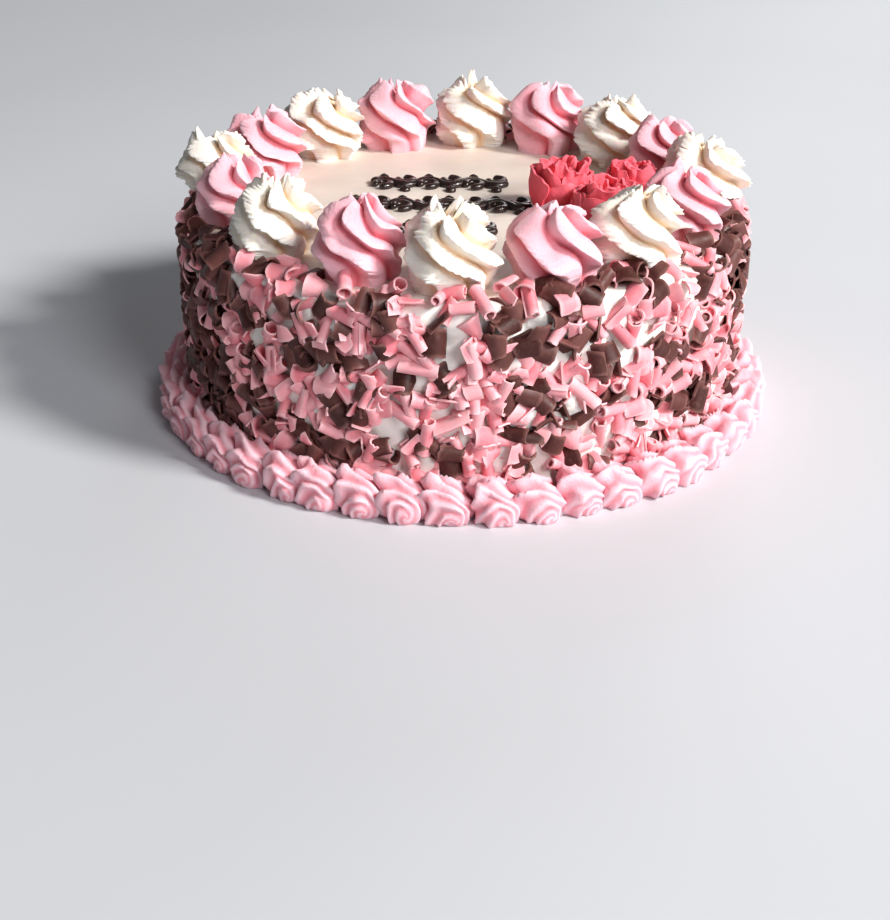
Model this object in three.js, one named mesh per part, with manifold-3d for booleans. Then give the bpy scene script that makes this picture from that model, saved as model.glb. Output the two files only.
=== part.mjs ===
// A round celebration cake, covered in cream: milk chocolate and strawberry curls cling to its side, sixteen
// piped swirls stand in a ring on its top, three piped roses lie inside the ring beside a piped chocolate
// ornament, and a border of piped shells runs round its foot.
// Millimetres, +Z up. The origin is the middle of the flat underside, and the front faces -Y.

import * as THREE from 'three';
import { mergeVertices } from 'three/addons/utils/BufferGeometryUtils.js';
import Module from 'manifold-3d';

const wasm = await Module();
wasm.setup();

// ---- Driving dimensions ----

const GAP = 0.3;                    // clearance between a piped piece and what it sits on

const COAT_RADIUS = 103;            // cream coat of an 8 inch cake
const CAKE_HEIGHT = 74.5;
const RIM_ROUND = 3;                // rounding of the coat's top edge
const COAT_FACETS = 72;

const CURL_ROWS = 5;                // curls lie in loose rows up the side
const CURLS_PER_ROW = 16;
const CURL_LOW = 22.5;              // height of the lowest and of the highest row
const CURL_HIGH = 68;
const CURL_RADIUS = 4;              // a milk chocolate curl: a rolled shaving
const CURL_LENGTH = 10.5;
const CURL_THICKNESS = 1;
const CURL_WRAP = 205;              // degrees that the shaving wraps round
const CURL_SPREAD = 2;              // how far up or down a curl strays from its row
const CURL_PROUD = 0.6;             // how far out of the coat a curl's own axis lies
const CURL_TIP = 11;                // degrees that a curl tips in or out of the coat
const PENCIL_RADIUS = 1.9;          // a strawberry curl: a tight thin roll
const PENCIL_LENGTH = 11;

const SWIRL_RIDGES = 6;             // points of the star nozzle
const SWIRL_TURN = -150;            // degrees that the ridges wind from foot to tip
const SWIRL_VALLEY = 0.74;          // valley radius over ridge radius
const SWIRL_SPACING = 22.5;         // degrees between two swirls
const SWIRL_START = 37;             // degrees from where one swirl's ridges start to where the next one's do
const FRONT_AZIMUTH = -92.35;       // where the first swirl stands

// Ridge radius up a swirl, as shares of its greatest radius and of its height.
const SWIRL_PROFILE = [
  [0.76, 0],
  [0.93, 0.12],
  [1, 0.32],
  [0.96, 0.52],
  [0.82, 0.7],
  [0.58, 0.85],
  [0.3, 0.95],
];

// The swirls, counter-clockwise from the front one: how far the middle stands from the cake's axis, how many
// degrees it strays from the even spacing, its greatest radius and its height.
const SWIRLS = [
  { out: 90, stray: 0.3, radius: 15.9, height: 29 },
  { out: 87, stray: -0.6, radius: 16.7, height: 27 },
  { out: 88, stray: -0.5, radius: 16.8, height: 27.5 },
  { out: 86, stray: 2.3, radius: 16.1, height: 25 },
  { out: 91, stray: 2.1, radius: 16.4, height: 27 },
  { out: 86, stray: 0.7, radius: 14.8, height: 26 },
  { out: 87, stray: 0.8, radius: 15.9, height: 26.5 },
  { out: 86.5, stray: -0.1, radius: 16.1, height: 28 },
  { out: 87, stray: 0.2, radius: 16.4, height: 28.5 },
  { out: 85.5, stray: -0.4, radius: 15.9, height: 28.5 },
  { out: 88, stray: -1.2, radius: 16.2, height: 27.5 },
  { out: 88, stray: 0, radius: 15.6, height: 26.5 },
  { out: 93, stray: 0.6, radius: 14.4, height: 27 },
  { out: 87, stray: -4.4, radius: 13.8, height: 25.5 },
  { out: 87, stray: -1.2, radius: 15.6, height: 27 },
  { out: 87, stray: 1.2, radius: 15.9, height: 28 },
];

// The roses: where the middle of each lies on the top, its radius and height, and how far it is turned.
const ROSES = [
  { x: 37, y: -9, radius: 11.6, height: 19, turn: 20 },
  { x: 51, y: -28.5, radius: 11.2, height: 17, turn: 75 },
  { x: 63.5, y: -3.5, radius: 10.6, height: 17, turn: 130 },
];
const ROSE_HEART = [[0, 0], [0.8, 0], [0.66, 0.24], [0.26, 0.3], [0.24, 0.8], [0, 0.92]];
const PETAL_THICKNESS = 1.6;
const PETAL_CUP = 0.26;             // how far a petal's sides bend in, as a share of its width
const PETAL_ROUND = 0.16;           // how much lower its corners are, as a share of its height
const PETAL_ROUNDS = [              // outer and inner petals: sizes as shares of the rose's radius and height
  { petals: 5, width: 1.02, tall: 0.88, out: 0.78, lean: 0.1, bends: 2, first: 0 },
  { petals: 3, width: 0.72, tall: 1, out: 0.44, lean: 0.06, bends: 1, first: 36 },
];

const SHELL_COUNT = 47;             // piped shells round the foot
const SHELL_FACETS = 4;             // facets along the border to one shell
const SHELL_NOTCH = 4.5;            // how deep the notch between two shells runs in
const SHELL_DIP = 0.12;             // how much lower the border's top is there, as a share of its height
const BORDER_PROFILE = [            // outer line of a shell's middle: distance from the coat, height
  [17.2, 0],
  [18, 4.2],
  [16.8, 10.2],
  [11.8, 14.3],
  [1, 12.8],
];

const STROKE_WIDTH = 3.6;           // the piped chocolate ornament on the top
const STROKE_HEIGHT = 2.8;
const STROKE_ROOT = 1;              // how deep a stroke's foot is sunk in the icing
const DOT_RADIUS = 2.3;             // the dots outside its bends, at their foot
const DOT_OFFSET = 7.8;             // from the row's middle line to a dot
const VINE_WAVE = 18;               // length of one wave of a vine
const VINE_SWING = 3.2;             // how far it swings to each side
const TENDRIL_RADIUS = 3.2;         // the small hooks in the bends
const TENDRIL_OFFSET = 2.4;         // from the row's middle line to a hook's middle
const VINES = [                     // the rows of the ornament: middle, and how many waves
  { x: -9.5, y: 23, waves: 3 },
  { x: -10, y: -5, waves: 4 },
  { x: -6, y: -34, waves: 2 },
];

// ---- Materials ----

const coatMaterial = new THREE.MeshStandardMaterial({ color: 0xf1e2d2, roughness: 0.55, metalness: 0 });
const creamMaterial = new THREE.MeshStandardMaterial({ color: 0xf7ecd8, roughness: 0.5, metalness: 0 });
const pinkMaterial = new THREE.MeshStandardMaterial({ color: 0xf2a3b3, roughness: 0.5, metalness: 0 });
const borderMaterial = new THREE.MeshStandardMaterial({ color: 0xf6bac8, roughness: 0.5, metalness: 0 });
const roseMaterial = new THREE.MeshStandardMaterial({ color: 0xe8596b, roughness: 0.5, metalness: 0 });

// ---- Helpers ----

// A seeded generator of numbers from 0 to 1.
function seededRandom(seed) {
  let state = seed;
  return () => {
    state = (Math.imul(state, 1664525) + 1013904223) >>> 0;
    return state / 4294967296;
  };
}

const radians = THREE.MathUtils.degToRad;

// Keeps only the corners of a geometry, each once.
function weld(geometry) {
  const bare = geometry.clone();
  bare.deleteAttribute('normal');
  bare.deleteAttribute('uv');
  return mergeVertices(bare, 1e-3);
}

function toManifold(geometry) {
  const welded = weld(geometry);
  return new wasm.Manifold(new wasm.Mesh({
    numProp: 3,
    vertProperties: new Float32Array(welded.attributes.position.array),
    triVerts: new Uint32Array(welded.index.array),
  }));
}

function toGeometry(manifold) {
  const mesh = manifold.getMesh();
  const geometry = new THREE.BufferGeometry();
  geometry.setAttribute('position', new THREE.BufferAttribute(new Float32Array(mesh.vertProperties), 3));
  geometry.setIndex(new THREE.BufferAttribute(new Uint32Array(mesh.triVerts), 1));
  geometry.computeVertexNormals();
  return geometry;
}

function joinAll(geometries) {
  let joined = toManifold(geometries[0]);
  for (const geometry of geometries.slice(1)) {
    joined = joined.add(toManifold(geometry));
  }
  return joined;
}

// Moves every corner of a geometry by a function of its place.
function sculpt(geometry, move) {
  const welded = weld(geometry);
  const position = welded.attributes.position;
  const corner = new THREE.Vector3();
  for (let i = 0; i < position.count; i += 1) {
    corner.fromBufferAttribute(position, i);
    move(corner);
    position.setXYZ(i, corner.x, corner.y, corner.z);
  }
  welded.computeVertexNormals();
  return welded;
}

// A turned body about Z. The profile is a list of [radius, height], from the bottom up.
function turned(profile, facets) {
  const points = profile.map(([radius, height]) => new THREE.Vector2(radius, height));
  return new THREE.LatheGeometry(points, facets).rotateX(Math.PI / 2);
}

function mesh(name, geometry, material) {
  const made = new THREE.Mesh(geometry, material);
  made.name = name;
  return made;
}

// ---- Cake: coat, curls and ornament ----

function coat() {
  const profile = [[0, 0], [COAT_RADIUS, 0], [COAT_RADIUS, CAKE_HEIGHT - RIM_ROUND]];
  for (const angle of [45, 90]) {
    const round = RIM_ROUND * Math.cos(radians(angle));
    const rise = RIM_ROUND * Math.sin(radians(angle));
    profile.push([COAT_RADIUS - RIM_ROUND + round, CAKE_HEIGHT - RIM_ROUND + rise]);
  }
  profile.push([0, CAKE_HEIGHT]);
  return turned(profile, COAT_FACETS);
}

// A shaving rolled about its own Z axis, open along one side.
function chocolateCurl(length) {
  const outline = new THREE.Shape();
  const end = radians(CURL_WRAP);
  outline.absarc(0, 0, CURL_RADIUS, 0, end, false);
  outline.absarc(0, 0, CURL_RADIUS - CURL_THICKNESS, end, 0, true);
  outline.closePath();
  const settings = { depth: length, bevelEnabled: false, curveSegments: 3 };
  return new THREE.ExtrudeGeometry(outline, settings).translate(0, 0, -length / 2);
}

function strawberryCurl(length) {
  return new THREE.CylinderGeometry(PENCIL_RADIUS, PENCIL_RADIUS, length, 4).rotateX(Math.PI / 2);
}

// Curls in jittered rows round the side. Each lies half sunk in the cream with its back outwards, turned any
// way, but level or nearly so in the lowest and the highest row.
function sideCurls() {
  const random = seededRandom(7);
  const either = (range) => range * (2 * random() - 1);
  const rise = (CURL_HIGH - CURL_LOW) / (CURL_ROWS - 1);
  const curls = [];
  for (let row = 0; row < CURL_ROWS; row += 1) {
    const edgeRow = row === 0 || row === CURL_ROWS - 1;
    for (let column = 0; column < CURLS_PER_ROW; column += 1) {
      const along = column + 0.5 * (row % 2) + either(0.25);
      const height = CURL_LOW + rise * row + either(CURL_SPREAD / 2);
      const brown = (row + column) % 2 === 0;
      const length = (brown ? CURL_LENGTH : PENCIL_LENGTH) * (1 + either(0.15));
      const curl = brown ? chocolateCurl(length) : strawberryCurl(length);
      curl.rotateZ(radians(-CURL_WRAP / 2 + either(45)));
      curl.rotateY(radians(either(CURL_TIP)));
      curl.rotateX(radians(edgeRow ? 90 + either(25) : either(90)));
      curl.translate(COAT_RADIUS + CURL_PROUD, 0, height);
      curls.push(curl.rotateZ(radians(360 * along / CURLS_PER_ROW)));
    }
  }
  return curls;
}

// A piped stroke along a level path: a low ridge, its foot sunk in the icing. The section's X points down.
function stroke(path, steps) {
  const section = new THREE.Shape();
  section.moveTo(STROKE_ROOT, -STROKE_WIDTH / 2);
  section.lineTo(STROKE_ROOT, STROKE_WIDTH / 2);
  section.lineTo(-STROKE_HEIGHT, 0.22 * STROKE_WIDTH);
  section.lineTo(-STROKE_HEIGHT, -0.22 * STROKE_WIDTH);
  section.closePath();
  return new THREE.ExtrudeGeometry(section, { steps, bevelEnabled: false, extrudePath: path });
}

// A hook in a bend of a vine, on the stem's hollow side, and a dot on its far side.
function tendril(x, y, side) {
  const hook = [0, 60, 120, 180, 240].map((degrees) => {
    const angle = radians(degrees);
    const across = TENDRIL_RADIUS * Math.cos(angle) + TENDRIL_OFFSET;
    return new THREE.Vector3(x + TENDRIL_RADIUS * Math.sin(angle), y - side * across, CAKE_HEIGHT);
  });
  const dot = turned([[0, -STROKE_ROOT], [DOT_RADIUS, -STROKE_ROOT], [0, STROKE_HEIGHT]], 6);
  dot.translate(x, y + side * DOT_OFFSET, CAKE_HEIGHT);
  return [stroke(new THREE.CatmullRomCurve3(hook), 3), dot];
}

// One row of the ornament: a waving stem with a tendril in each bend.
function vine({ x, y, waves }) {
  const start = x - waves * VINE_WAVE / 2;
  const stem = [];
  for (let i = 0; i <= 4 * waves; i += 1) {
    const swing = VINE_SWING * Math.sin(Math.PI * i / 2);
    stem.push(new THREE.Vector3(start + VINE_WAVE * i / 4, y + swing, CAKE_HEIGHT));
  }
  const pieces = [stroke(new THREE.CatmullRomCurve3(stem), 5 * waves)];
  for (let bend = 0; bend < 2 * waves; bend += 1) {
    pieces.push(...tendril(start + VINE_WAVE * (0.25 + bend / 2), y, bend % 2 === 0 ? 1 : -1));
  }
  return pieces;
}

function cake() {
  return toGeometry(joinAll([coat(), ...sideCurls(), ...VINES.flatMap(vine)]));
}

// ---- Swirls ----

// A star shaped body whose ridges wind clockwise as they rise to its tip.
function swirl({ radius, height }) {
  const profile = [[0, 0], ...SWIRL_PROFILE.map(([r, z]) => [r * radius, z * height]), [0, height]];
  const facet = Math.PI / SWIRL_RIDGES;
  return sculpt(turned(profile, 2 * SWIRL_RIDGES), (corner) => {
    const out = Math.hypot(corner.x, corner.y);
    const around = Math.round(Math.atan2(corner.y, corner.x) / facet);
    const share = around % 2 === 0 ? 1 : SWIRL_VALLEY;
    const angle = around * facet + radians(SWIRL_TURN) * corner.z / height;
    corner.x = out * share * Math.cos(angle);
    corner.y = out * share * Math.sin(angle);
  });
}

function swirls() {
  const made = [];
  SWIRLS.forEach((piped, index) => {
    const azimuth = radians(FRONT_AZIMUTH + SWIRL_SPACING * index + piped.stray);
    const cream = index % 2 === 0;
    const number = Math.floor(index / 2) + 1;
    const name = `swirl_${cream ? 'cream' : 'pink'}_${number}`;
    const piece = mesh(name, swirl(piped), cream ? creamMaterial : pinkMaterial);
    piece.position.set(piped.out * Math.cos(azimuth), piped.out * Math.sin(azimuth), CAKE_HEIGHT + GAP);
    piece.rotation.z = azimuth + radians(SWIRL_START * index);
    made.push(piece);
  });
  return made;
}

// ---- Roses ----

// A petal: a thin cupped sheet that stands on its foot and curls outwards at its lip.
function petal(width, tall, out, lean, bends) {
  const sheet = new THREE.BoxGeometry(PETAL_THICKNESS, width, tall, 1, 2, bends);
  sheet.translate(0, 0, tall / 2);
  return sculpt(sheet, (corner) => {
    const across = corner.y / (width / 2);
    const up = corner.z / tall;
    corner.x += out + lean * tall * up * up - PETAL_CUP * width * across * across;
    corner.y *= 0.8 + 0.2 * Math.sin(Math.PI * up);
    corner.z -= PETAL_ROUND * tall * across * across * up;
  });
}

// A low cushion with a bud in its middle and two rounds of petals.
function rose({ radius, height }) {
  const heart = ROSE_HEART.map(([share, rise]) => [share * radius, rise * height]);
  const pieces = [turned(heart, 6)];
  for (const { petals, width, tall, out, lean, bends, first } of PETAL_ROUNDS) {
    for (let i = 0; i < petals; i += 1) {
      const leaf = petal(width * radius, tall * height, out * radius, lean, bends);
      pieces.push(leaf.rotateZ(radians(first + 360 * i / petals)));
    }
  }
  return toGeometry(joinAll(pieces));
}

function roses() {
  return ROSES.map((piped, index) => {
    const piece = mesh(`rose_${index + 1}`, rose(piped), roseMaterial);
    piece.position.set(piped.x, piped.y, CAKE_HEIGHT + GAP);
    piece.rotation.z = radians(piped.turn);
    return piece;
  });
}

// ---- Border ----

// A ring whose outer face swells out into each shell and is notched and a little lower between two of them.
function border() {
  const inside = (COAT_RADIUS + GAP) / Math.cos(Math.PI / COAT_FACETS);
  const outline = BORDER_PROFILE.map(([out, height]) => [COAT_RADIUS + out, height]);
  const profile = [[inside, 0], ...outline, [inside, BORDER_PROFILE.at(-1)[1] - 1], [inside, 0]];
  const facets = SHELL_COUNT * SHELL_FACETS;
  return sculpt(turned(profile, facets), (corner) => {
    const out = Math.hypot(corner.x, corner.y);
    const around = Math.round(Math.atan2(corner.y, corner.x) * facets / (2 * Math.PI));
    const notch = 0.5 - 0.5 * Math.cos(2 * Math.PI * around / SHELL_FACETS);
    const depth = Math.min(1, (out - inside) / BORDER_PROFILE[0][0]);
    const shrink = (out - notch * SHELL_NOTCH * depth) / out;
    corner.x *= shrink;
    corner.y *= shrink;
    corner.z *= 1 - SHELL_DIP * notch * (1 - depth);
  });
}

// ---- The whole cake ----

const group = new THREE.Group();
group.add(mesh('cake', cake(), coatMaterial));
group.add(mesh('shell_border', border(), borderMaterial));
group.add(...swirls());
group.add(...roses());

export default group;
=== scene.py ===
"""Looks of a round celebration cake: cream coat, chocolate and strawberry curls, piped swirls, roses,
scroll ornament and shell border. Metres, +Z up, origin at the middle of the flat underside, front at -Y.

Shapes are worked out in millimetres and scaled by MM when a mesh is made. Swirls and roses take their places
and sizes from the solids that they stand for."""

import math
from collections import namedtuple

import bpy
import numpy as np
from mathutils import Euler, Matrix, Vector


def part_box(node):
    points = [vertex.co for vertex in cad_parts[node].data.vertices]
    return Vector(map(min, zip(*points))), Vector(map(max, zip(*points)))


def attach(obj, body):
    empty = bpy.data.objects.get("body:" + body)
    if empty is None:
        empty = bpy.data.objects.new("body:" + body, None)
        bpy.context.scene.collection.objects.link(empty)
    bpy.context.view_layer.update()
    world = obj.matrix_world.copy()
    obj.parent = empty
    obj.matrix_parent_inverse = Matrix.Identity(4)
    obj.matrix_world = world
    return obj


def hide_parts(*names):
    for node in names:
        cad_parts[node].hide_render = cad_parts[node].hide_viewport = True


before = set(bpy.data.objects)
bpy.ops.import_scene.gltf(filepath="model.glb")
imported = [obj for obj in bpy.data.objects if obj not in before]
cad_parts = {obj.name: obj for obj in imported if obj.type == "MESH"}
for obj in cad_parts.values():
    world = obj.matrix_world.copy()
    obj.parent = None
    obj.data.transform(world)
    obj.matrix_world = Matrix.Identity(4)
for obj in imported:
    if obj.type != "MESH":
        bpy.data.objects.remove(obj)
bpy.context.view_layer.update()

MM = 0.001
TAU = 2 * math.pi
TINY = 1e-9                 # keeps a length that is divided by above zero

# ---- The cake, in millimetres ----

COAT_RADIUS = 103.0
CAKE_TOP = 74.5
RIM_ROUND = 4.0             # radius of the rim's rounding
SWIRL_COUNT = 16
SHELL_COUNT = 47
ROSE_COUNT = 3

# ---- Camera: the photograph's viewpoint ----

PHOTO_SIZE = (890, 920)
LENS_PIXELS = 1467.9        # focal length in pixels of that picture
CAMERA_PLACE = (0.0, -0.5453, 0.2510)
CAMERA_DOWN = 27.85         # degrees below level
CAMERA_LEFT = 0.69          # degrees to the left of the cake's axis
CAMERA_ROLL = 0.27          # degrees
CAMERA_NEAR = 0.01
SENSOR = 36.0

# ---- Light and floor ----

SKY_COLOUR = (0.93, 0.96, 1.0, 1)
SKY_STRENGTH = 0.11
LIT_MIDDLE = (0, 0, 0.05)   # what the lamps are aimed at
LAMPS = (                   # name, place, size across, watts, colour
    ("key", (2.55, -1.15, 2.15), 0.75, 163, (1.0, 0.97, 0.94)),
    ("back", (0.9, 3.2, 1.3), 1.6, 24, (0.97, 0.98, 1.0)),
    ("fill", (1.7, -2.5, 1.9), 1.2, 62, (0.99, 0.98, 1.0)),
)
FLOOR_HALF = 6.0            # metres, half the floor's side
FLOOR_TONES = (0.56, 0.58, 0.61), (0.59, 0.61, 0.64)
FLOOR_ROUGH = 0.6

# ---- Colours, linear ----

# Piped cream: its valleys, its flanks and its crests, then how far red, green and blue spread inside it.
# Valley colours, darker and warmer, are painted shade and reflected colour; the paler crest colours are a
# painted highlight.
WHITE_CREAM = (0.92, 0.62, 0.36), (0.93, 0.85, 0.75), (0.93, 0.89, 0.82), (1.0, 0.7, 0.4)
PINK_CREAM = (0.90, 0.22, 0.27), (0.96, 0.45, 0.52), (0.97, 0.58, 0.65), (1.0, 0.35, 0.35)
BORDER_CREAM = (0.87, 0.32, 0.38), (0.93, 0.53, 0.60), (0.95, 0.63, 0.70), (1.0, 0.4, 0.4)
# The rose's near black valley colour is painted shade at the petals' feet and in its heart.
ROSE_CREAM = (0.34, 0.012, 0.02), (0.80, 0.065, 0.10), (0.96, 0.16, 0.21), (1.0, 0.2, 0.2)
CREAM_GLOW, ROSE_GLOW = 0.35, 0.2       # share of the light that spreads inside

# Curls: dark, middle and pale tones, then the colour of their pale bloom, which also lightens their edges as
# a painted highlight.
MILK_CHOCOLATE = (0.042, 0.010, 0.008), (0.078, 0.023, 0.019), (0.135, 0.047, 0.041), (0.26, 0.115, 0.10)
STRAWBERRY_CHOCOLATE = (0.80, 0.21, 0.25), (0.88, 0.31, 0.355), (0.91, 0.43, 0.46), (0.95, 0.60, 0.62)
MILK_ROUGH, STRAWBERRY_ROUGH = 0.52, 0.48
STRAWBERRY_GLOW = 0.2

TOP_ICING = (0.69, 0.60, 0.525), (0.77, 0.675, 0.60)
# Painted light: the side's cream is whiter than the top's, to offset the shade between the curls.
SIDE_ICING_PAINTED_LIGHT = (0.93, 0.87, 0.82)
DARK_CHOCOLATE = (0.012, 0.006, 0.005), (0.03, 0.015, 0.012)


# ======== Helpers ========

def ripple(places, size, seed, terms=12):
    """Smooth seeded noise of about unit strength at (n, 3) places, with bumps about `size` across."""
    rng = np.random.default_rng(seed)
    ways = rng.normal(size=(terms, 3))
    ways /= np.linalg.norm(ways, axis=1, keepdims=True)
    waves = ways * (TAU / size) * rng.uniform(0.6, 1.4, (terms, 1))
    phases = rng.uniform(0, TAU, terms)
    return np.sin(places @ waves.T + phases).sum(-1) * math.sqrt(2 / terms)


def wander(flat, amount, size, seed, hold=(1, 1, 1)):
    """Pushes (n, 3) places about softly, in place, in bumps about `size` across, less where `hold` is low."""
    for axis in range(3):
        flat[:, axis] += amount * ripple(flat, size, seed + axis) * hold[axis]


def smooth(x, low=0.0, high=1.0):
    """A soft step from 0 at `low` to 1 at `high`."""
    t = np.clip((x - low) / (high - low), 0, 1)
    return t * t * (3 - 2 * t)


def turn_z(places, angle):
    """Places turned about Z by an angle in radians."""
    c, s = np.cos(angle), np.sin(angle)
    x, y, z = places[..., 0], places[..., 1], places[..., 2]
    return np.stack([c * x - s * y, s * x + c * y, z], -1)


def rotation(axis, angle):
    """3x3 matrix of a turn by an angle in radians about 'X', 'Y' or 'Z'."""
    return np.array(Matrix.Rotation(angle, 3, axis))


def lathe(profile, columns):
    """Rings of a body turned about Z, from the radius and height of each ring."""
    spin = np.linspace(0, TAU, columns, endpoint=False)
    return np.array([[[r * math.cos(a), r * math.sin(a), z] for a in spin] for r, z in profile])


class Shape:
    """Collects closed bodies, in millimetres, and makes one mesh object of them."""

    def __init__(self):
        self.places, self.faces, self.values, self.count = [], [], [], 0

    def add(self, places, faces, **values):
        """One body. Each further value becomes an attribute of the mesh, by place."""
        self.places.append(places)
        self.faces.extend([tuple(i + self.count for i in face) for face in faces])
        self.values.append({k: np.broadcast_to(v, len(places)) for k, v in values.items()})
        self.count += len(places)

    def body(self, rings, low=None, high=None, **values):
        """A body of closed rings, (rows, columns, 3), closed to a point at each end."""
        rows, columns = rings.shape[:2]
        low = rings[0].mean(0) if low is None else low
        high = rings[-1].mean(0) if high is None else high
        faces = []
        for i in range(rows - 1):
            for j in range(columns):
                k = (j + 1) % columns
                faces.append((i * columns + j, i * columns + k, (i + 1) * columns + k, (i + 1) * columns + j))
        bottom, top = rows * columns, rows * columns + 1
        for j in range(columns):
            k = (j + 1) % columns
            faces.append((bottom, k, j))
            faces.append((top, (rows - 1) * columns + j, (rows - 1) * columns + k))
        places = np.concatenate([rings.reshape(-1, 3), [low], [high]])
        spread = {}
        for key, value in values.items():
            flat = np.broadcast_to(value, (rows, columns))
            spread[key] = np.concatenate([flat.ravel(), [flat[0].mean()], [flat[-1].mean()]])
        self.add(places, faces, **spread)

    def sheet(self, grid, thickness, **values):
        """A thin sheet with both faces and its edges, from its middle surface, (rows, columns, 3)."""
        rows, columns = grid.shape[:2]
        along = np.gradient(grid, axis=0)
        across = np.gradient(grid, axis=1)
        normal = np.cross(along, across)
        normal /= np.maximum(np.linalg.norm(normal, axis=-1, keepdims=True), TINY)
        half = 0.5 * np.asarray(thickness)[..., None]
        front, rear = grid + normal * half, grid - normal * half
        places = np.concatenate([front.reshape(-1, 3), rear.reshape(-1, 3)])
        back = rows * columns
        faces = []
        for i in range(rows - 1):
            for j in range(columns - 1):
                a, b = i * columns + j, (i + 1) * columns + j
                faces.append((a, b, b + 1, a + 1))
                faces.append((back + a, back + a + 1, back + b + 1, back + b))
        edge = list(range(columns))
        edge += [i * columns + columns - 1 for i in range(1, rows)]
        edge += [(rows - 1) * columns + j for j in range(columns - 2, -1, -1)]
        edge += [i * columns for i in range(rows - 2, 0, -1)]
        for a, b in zip(edge, edge[1:] + edge[:1]):
            faces.append((a, b, back + b, back + a))
        spread = {}
        for key, value in values.items():
            flat = np.broadcast_to(value, (rows, columns)).ravel()
            spread[key] = np.concatenate([flat, flat])
        self.add(places, faces, **spread)

    def make(self, name, material, slot, nodes, crease=0):
        """The mesh object, with its material, its body and the nodes that it stands for. Its slot is not
        used.

        Edges sharper than `crease` degrees stay sharp."""
        mesh = bpy.data.meshes.new(name)
        places = np.concatenate(self.places) * MM
        mesh.from_pydata(places.tolist(), [], self.faces)
        for key in self.values[0]:
            layer = mesh.attributes.new(key, "FLOAT", "POINT")
            layer.data.foreach_set("value", np.concatenate([v[key] for v in self.values]).astype(np.float32))
        mesh.validate()
        mesh.shade_smooth()
        if crease:
            mesh.set_sharp_from_angle(angle=math.radians(crease))
        mesh.materials.append(material)
        piece = bpy.data.objects.new(name, mesh)
        bpy.context.scene.collection.objects.link(piece)
        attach(piece, "root")
        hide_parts(*nodes)
        return piece


# ======== Materials ========

class Paint:
    """A material's node tree, with short calls for the nodes used here."""

    MIX_INPUTS = (0, 6, 7)      # a colour mix's amount, first colour and second colour
    MIX_OUTPUT = 2

    def __init__(self, name):
        self.material = bpy.data.materials.new(name)
        self.material.use_nodes = True
        self.tree = self.material.node_tree
        self.shader = self.tree.nodes["Principled BSDF"]

    def feed(self, socket, value):
        """Links another node's socket into this one, or sets it to a value."""
        if isinstance(value, bpy.types.NodeSocket):
            self.tree.links.new(value, socket)
        else:
            socket.default_value = value

    def node(self, kind, **inputs):
        made = self.tree.nodes.new(kind)
        for key, value in inputs.items():
            self.feed(made.inputs[key.replace("_", " ")], value)
        return made

    def attribute(self, name):
        made = self.tree.nodes.new("ShaderNodeAttribute")
        made.attribute_name = name
        return made.outputs["Fac"]

    def noise(self, scale, detail=3.0, roughness=0.5, stretch=None):
        place = self.tree.nodes.new("ShaderNodeTexCoord").outputs["Object"]
        if stretch:
            place = self.node("ShaderNodeMapping", Vector=place, Scale=stretch).outputs["Vector"]
        made = self.node("ShaderNodeTexNoise", Vector=place, Scale=scale, Detail=detail, Roughness=roughness)
        return made.outputs["Fac"]

    def ramp(self, value, *stops):
        """Colours or greys by value. A stop is a position and its colour."""
        made = self.tree.nodes.new("ShaderNodeValToRGB")
        elements = made.color_ramp.elements
        while len(elements) < len(stops):
            elements.new(0.5)
        for element, (position, colour) in zip(elements, stops):
            element.position = position
            element.color = (*colour, 1.0) if hasattr(colour, "__len__") else (colour, colour, colour, 1.0)
        self.tree.links.new(value, made.inputs["Fac"])
        return made.outputs["Color"]

    def mix(self, amount, first, second, blend="MIX"):
        made = self.tree.nodes.new("ShaderNodeMix")
        made.data_type = "RGBA"
        made.blend_type = blend
        for index, value in zip(self.MIX_INPUTS, (amount, first, second)):
            self.feed(made.inputs[index], (*value, 1.0) if isinstance(value, tuple) else value)
        return made.outputs[self.MIX_OUTPUT]

    def bump(self, height, depth, strength, under=None):
        """A bump `depth` millimetres deep, on top of another bump where one is given."""
        made = self.node("ShaderNodeBump", Height=height, Strength=strength, Distance=depth * MM)
        if under:
            self.tree.links.new(under, made.inputs["Normal"])
        return made.outputs["Normal"]

    def finish(self, **settings):
        for key, value in settings.items():
            self.feed(self.shader.inputs[key.replace("_", " ")], value)
        return self.material


def whipped(name, valley, flank, crest, spread, glow=CREAM_GLOW):
    """Piped cream: paler on its crests as a painted highlight and darker and warmer in its valleys as painted
    shade and reflected colour, faintly mottled and finely pitted.
    """
    paint = Paint(name)
    # Painted light by depth: the valley colour is painted shade and reflected colour, the crest colour a
    # painted highlight.
    colour = paint.ramp(paint.attribute("depth"), (0.0, valley), (0.45, flank), (1.0, crest))
    mottle = paint.ramp(paint.noise(scale=90, detail=4), (0.3, 0.9), (0.7, 1.0))
    colour = paint.mix(0.5, colour, mottle, "MULTIPLY")
    pits = paint.bump(paint.noise(scale=1000, detail=5, roughness=0.65), depth=0.45, strength=0.7)
    soft = paint.bump(paint.noise(scale=190), depth=0.55, strength=0.45, under=pits)
    rough = paint.ramp(paint.noise(scale=240, detail=2), (0.3, 0.52), (0.7, 0.68))
    return paint.finish(
        Base_Color=colour, Roughness=rough, Normal=soft, Subsurface_Weight=glow,
        Subsurface_Radius=spread, Subsurface_Scale=0.0018, Specular_IOR_Level=0.28,
    )


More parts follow.
